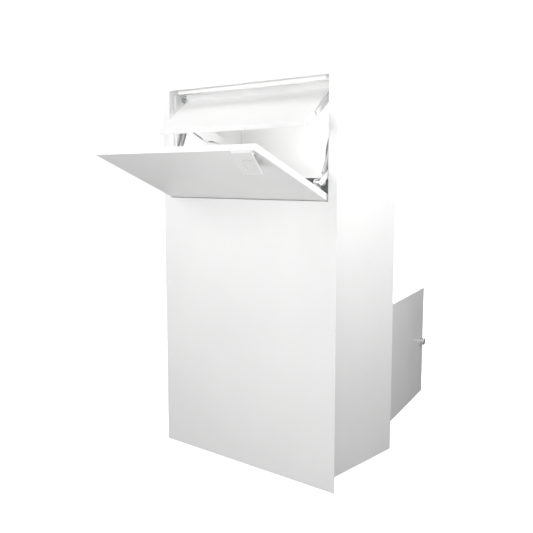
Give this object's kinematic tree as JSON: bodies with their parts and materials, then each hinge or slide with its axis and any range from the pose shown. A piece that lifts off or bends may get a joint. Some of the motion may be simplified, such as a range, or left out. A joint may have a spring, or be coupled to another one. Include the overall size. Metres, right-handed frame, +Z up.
{
  "type": "parcel drop box",
  "caption": "Wall-built parcel drop box: wide flanged front, fold-down deposit flap with guard baffle, keyed grip and a lockable collection door behind.",
  "frame": {"origin": "on the back face of the front flange, in the middle of its lower strip", "axes": "+X to the right seen from the front, +Y into the wall along the body, +Z up"},
  "size_m": [0.49, 0.829, 0.84],
  "materials": {
    "powder_coat": "satin white powder coat, fine texture",
    "zinc": "bright zinc plate",
    "strut_tube": "dark grey lacquer",
    "chrome": "polished",
    "key_plastic": "white gloss",
    "rubber": "matte ribbed",
    "lock_plastic": "fine matte"
  },
  "bodies": {
    "cabinet": {"front_plate": "powder_coat", "side_panel_left": "powder_coat", "side_panel_right": "powder_coat", "roof_panel": "powder_coat", "floor_panel": "powder_coat", "rear_panel": "powder_coat", "flap_stop_strip": "powder_coat", "jamb_stop_left": "powder_coat", "jamb_stop_right": "powder_coat", "rear_liner": "powder_coat", "floor_mat": "rubber", "cheek_left": "powder_coat", "cheek_right": "powder_coat", "strut_stud_left": "zinc", "strut_stud_right": "zinc", "baffle_pivot_left": "zinc", "baffle_pivot_right": "zinc", "flap_pivot_left": "zinc", "flap_pivot_right": "zinc", "jamb_catch_left": "powder_coat", "jamb_catch_right": "powder_coat", "hinge_leaf_lower": "zinc", "hinge_leaf_upper": "zinc", "hinge_pin_lower": "chrome", "hinge_pin_upper": "chrome", "door_stop_angle": "powder_coat"},
    "flap": {"flap_outer_pan": "powder_coat", "flap_inner_cover": "powder_coat", "flap_hinge_rail": "powder_coat", "flap_lug_left": "powder_coat", "flap_lug_right": "powder_coat", "lug_pin_left": "zinc", "lug_pin_right": "zinc", "arm_pin_left": "zinc", "arm_pin_right": "zinc", "grip_plate": "powder_coat", "lock_case": "lock_plastic", "lock_barrel": "zinc"},
    "latch_tongue": {"latch_tongue": "zinc"},
    "baffle": {"baffle_panel": "powder_coat", "baffle_crank_left": "powder_coat", "baffle_crank_right": "powder_coat"},
    "door": {"door_outer_pan": "powder_coat", "door_inner_panel": "powder_coat", "door_leaf_lower": "zinc", "door_leaf_upper": "zinc"},
    "door_lock": {"door_knob": "chrome", "door_cam": "zinc"},
    "code_key_1": {"code_key_1": "key_plastic"},
    "code_key_2": {"code_key_2": "key_plastic"},
    "code_key_3": {"code_key_3": "key_plastic"},
    "code_key_4": {"code_key_4": "key_plastic"},
    "code_key_5": {"code_key_5": "key_plastic"},
    "code_key_6": {"code_key_6": "key_plastic"},
    "strut_tube_left": {"strut_tube_left": "strut_tube"},
    "strut_rod_left": {"strut_rod_left": "chrome"},
    "drive_arm_left": {"drive_arm_left": "powder_coat"},
    "strut_tube_right": {"strut_tube_right": "strut_tube"},
    "strut_rod_right": {"strut_rod_right": "chrome"},
    "drive_arm_right": {"drive_arm_right": "powder_coat"}
  },
  "joints": [
    {"name": "flap_hinge", "type": "hinge", "parent": "cabinet", "child": "flap", "pos_m": [0, 0.004, 0.575], "axis": [-1, 0, 0], "range_deg": [0, 66.56]},
    {"name": "baffle_hinge", "type": "hinge", "parent": "cabinet", "child": "baffle", "pos_m": [0, 0.046, 0.792], "axis": [1, 0, 0], "range_deg": [0, 50.1]},
    {"name": "strut_rod_pivot_left", "type": "hinge", "parent": "cabinet", "child": "strut_rod_left", "pos_m": [-0.215, 0.0626, 0.78], "axis": [1, 0, 0], "range_deg": [0, 11.3]},
    {"name": "strut_tube_pivot_left", "type": "hinge", "parent": "flap", "child": "strut_tube_left", "pos_m": [-0.215, -0.00852, 0.60571], "axis": [1, 0, 0], "range_deg": [0, 77.9]},
    {"name": "drive_arm_pivot_left", "type": "hinge", "parent": "flap", "child": "drive_arm_left", "pos_m": [-0.222, -0.02226, 0.60568], "axis": [1, 0, 0], "range_deg": [0, 58.8]},
    {"name": "strut_rod_pivot_right", "type": "hinge", "parent": "cabinet", "child": "strut_rod_right", "pos_m": [0.215, 0.0626, 0.78], "axis": [1, 0, 0], "range_deg": [0, 11.3]},
    {"name": "strut_tube_pivot_right", "type": "hinge", "parent": "flap", "child": "strut_tube_right", "pos_m": [0.215, -0.00852, 0.60571], "axis": [1, 0, 0], "range_deg": [0, 77.9]},
    {"name": "drive_arm_pivot_right", "type": "hinge", "parent": "flap", "child": "drive_arm_right", "pos_m": [0.222, -0.02226, 0.60568], "axis": [1, 0, 0], "range_deg": [0, 58.8]},
    {"name": "latch_turn", "type": "hinge", "parent": "flap", "child": "latch_tongue", "pos_m": [0.192, -0.18069, 0.66488], "axis": [0, 0.3978, 0.9175], "range_deg": [0, 90]},
    {"name": "code_key_press_1", "type": "slide", "parent": "flap", "child": "code_key_1", "axis": [0, 0.7841, 0.6206], "range_m": [0, 0.0008], "stiffness_N_per_m": 400},
    {"name": "code_key_press_2", "type": "slide", "parent": "flap", "child": "code_key_2", "axis": [0, 0.7841, 0.6206], "range_m": [0, 0.0008], "stiffness_N_per_m": 400},
    {"name": "code_key_press_3", "type": "slide", "parent": "flap", "child": "code_key_3", "axis": [0, 0.7841, 0.6206], "range_m": [0, 0.0008], "stiffness_N_per_m": 400},
    {"name": "code_key_press_4", "type": "slide", "parent": "flap", "child": "code_key_4", "axis": [0, 0.7841, 0.6206], "range_m": [0, 0.0008], "stiffness_N_per_m": 400},
    {"name": "code_key_press_5", "type": "slide", "parent": "flap", "child": "code_key_5", "axis": [0, 0.7841, 0.6206], "range_m": [0, 0.0008], "stiffness_N_per_m": 400},
    {"name": "code_key_press_6", "type": "slide", "parent": "flap", "child": "code_key_6", "axis": [0, 0.7841, 0.6206], "range_m": [0, 0.0008], "stiffness_N_per_m": 400},
    {"name": "door_hinge", "type": "hinge", "parent": "cabinet", "child": "door", "pos_m": [0.1955, 0.2425, 0.1781], "axis": [0, 0, 1], "range_deg": [-30, 75]},
    {"name": "door_lock_turn", "type": "hinge", "parent": "door", "child": "door_lock", "pos_m": [0.09862, 0.59442, 0.178], "axis": [0.9659, 0.2588, 0], "range_deg": [0, 90]}
  ],
  "couplings": [
    {"joint": "baffle_hinge", "follows": "flap_hinge", "ratio": 0.7512},
    {"joint": "strut_rod_pivot_left", "follows": "flap_hinge", "ratio": 0.1675},
    {"joint": "strut_tube_pivot_left", "follows": "flap_hinge", "ratio": 1.1675},
    {"joint": "drive_arm_pivot_left", "follows": "flap_hinge", "ratio": 0.88},
    {"joint": "strut_rod_pivot_right", "follows": "flap_hinge", "ratio": 0.1675},
    {"joint": "strut_tube_pivot_right", "follows": "flap_hinge", "ratio": 1.1675},
    {"joint": "drive_arm_pivot_right", "follows": "flap_hinge", "ratio": 0.88}
  ]
}
